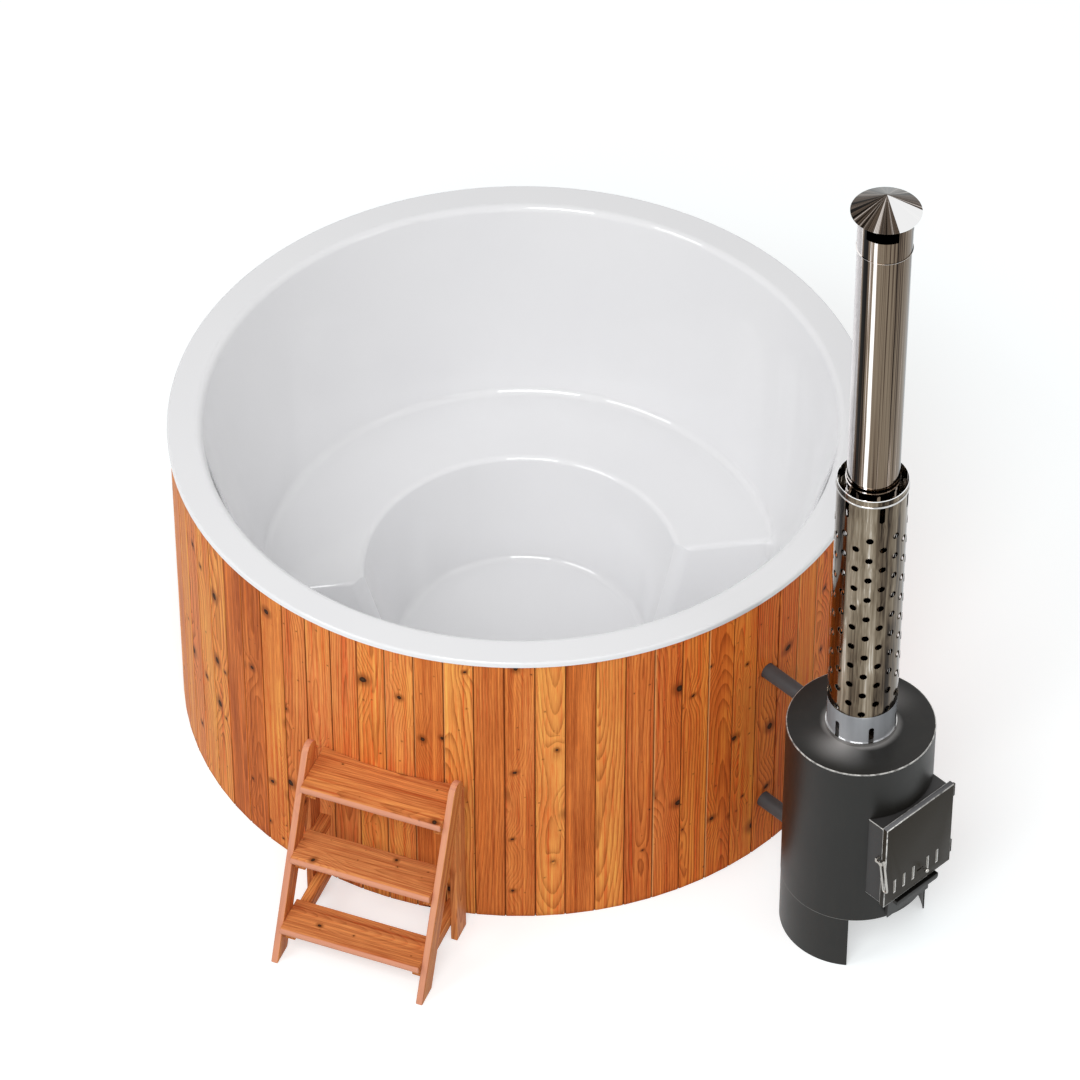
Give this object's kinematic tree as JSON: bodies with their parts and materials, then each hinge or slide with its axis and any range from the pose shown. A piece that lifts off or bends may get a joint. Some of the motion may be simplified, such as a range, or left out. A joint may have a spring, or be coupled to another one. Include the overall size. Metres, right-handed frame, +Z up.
{
  "type": "wooden hot tub",
  "caption": "Round wooden hot tub with a moulded basin and half-ring seat, an outside wood-fired stove with a guarded chimney, and a set of wooden steps.",
  "frame": {"origin": "centre of the tub on the ground plane, under the basin", "axes": "+Z up, +X from the tub's centre to the stove, +Y to the left of someone who faces the stove from the tub"},
  "size_m": [2.7285, 2.3127, 2.654],
  "materials": {
    "cedar": "stained, planed, satin",
    "cedar_pale": "stained, planed, satin",
    "pine": "sawn",
    "basin_white": "gloss gelcoat",
    "fitting_grey": "satin",
    "pipe_dark": "matt",
    "stove_paint": "heat-resistant, satin",
    "inner_steel": "heat-scaled, matt",
    "cast": "sand-cast, matt",
    "rope": "woven",
    "bright_steel": "polished",
    "chimney_steel": "polished",
    "valve_brass": "cast, satin",
    "lever_red": "dipped, satin"
  },
  "bodies": {
    "tub_and_stove": {"basin": "basin_white", "top_ring": "pine", "middle_ring": "pine", "bottom_ring": "pine", "wall_studs": "pine", "floor_joists": "pine", "seat_posts": "pine", "wall_staves": "cedar", "pipe_stave": "cedar", "drain_staves": "cedar", "drain_flange": "fitting_grey", "drain_sump": "fitting_grey", "drain_grate": "bright_steel", "drain_pipe": "fitting_grey", "drain_valve_body": "valve_brass", "supply_fitting": "fitting_grey", "return_fitting": "fitting_grey", "fitting_nuts": "fitting_grey", "strainers": "fitting_grey", "supply_pipe": "pipe_dark", "return_pipe": "pipe_dark", "stove_body": "stove_paint", "stove_lid": "stove_paint", "jacket_floor": "inner_steel", "firebox": "inner_steel", "fire_grate": "cast", "stove_skirt": "stove_paint", "door_neck": "stove_paint", "hinge_brackets": "stove_paint", "hinge_pins": "bright_steel", "latch_keeper": "bright_steel", "ash_duct": "inner_steel", "flue_pipe_lower": "chimney_steel", "flue_pipe_upper": "chimney_steel", "flue_band": "chimney_steel", "heat_guard": "chimney_steel", "guard_base_ring": "chimney_steel", "guard_bead": "chimney_steel", "guard_spacers": "chimney_steel", "chimney_cowl": "chimney_steel", "chimney_cap": "chimney_steel", "step_side_left": "cedar_pale", "step_side_right": "cedar_pale", "step_post_left": "cedar_pale", "step_post_right": "cedar_pale", "tread_top": "cedar", "tread_middle": "cedar", "tread_bottom": "cedar", "step_bearers": "cedar_pale"},
    "door": {"fire_door": "stove_paint", "door_seal": "rope", "door_baffle": "inner_steel", "slide_rails": "inner_steel", "latch_pin": "bright_steel"},
    "latch": {"door_latch": "bright_steel"},
    "air_damper": {"air_slide": "bright_steel", "air_knob": "bright_steel"},
    "ash_box": {"ash_drawer": "stove_paint"},
    "valve_handle": {"drain_ball": "bright_steel", "drain_lever": "lever_red"}
  },
  "joints": [
    {"name": "door_hinge", "type": "hinge", "parent": "tub_and_stove", "child": "door", "pos_m": [1.579, 0.138, 0.45], "axis": [0, 0, 1], "range_deg": [0, 150]},
    {"name": "latch_pivot", "type": "hinge", "parent": "door", "child": "latch", "pos_m": [1.579, -0.137, 0.475], "axis": [0, -1, 0], "range_deg": [0, 90]},
    {"name": "air_slide_travel", "type": "slide", "parent": "door", "child": "air_damper", "axis": [0, -1, 0], "range_m": [0, 0.019]},
    {"name": "ash_drawer_travel", "type": "slide", "parent": "tub_and_stove", "child": "ash_box", "axis": [1, 0, 0], "range_m": [0, 0.26]},
    {"name": "drain_valve_turn", "type": "hinge", "parent": "tub_and_stove", "child": "valve_handle", "pos_m": [-1.038, -0.115, 0.091], "axis": [0, 0, 1], "range_deg": [0, 90]}
  ]
}
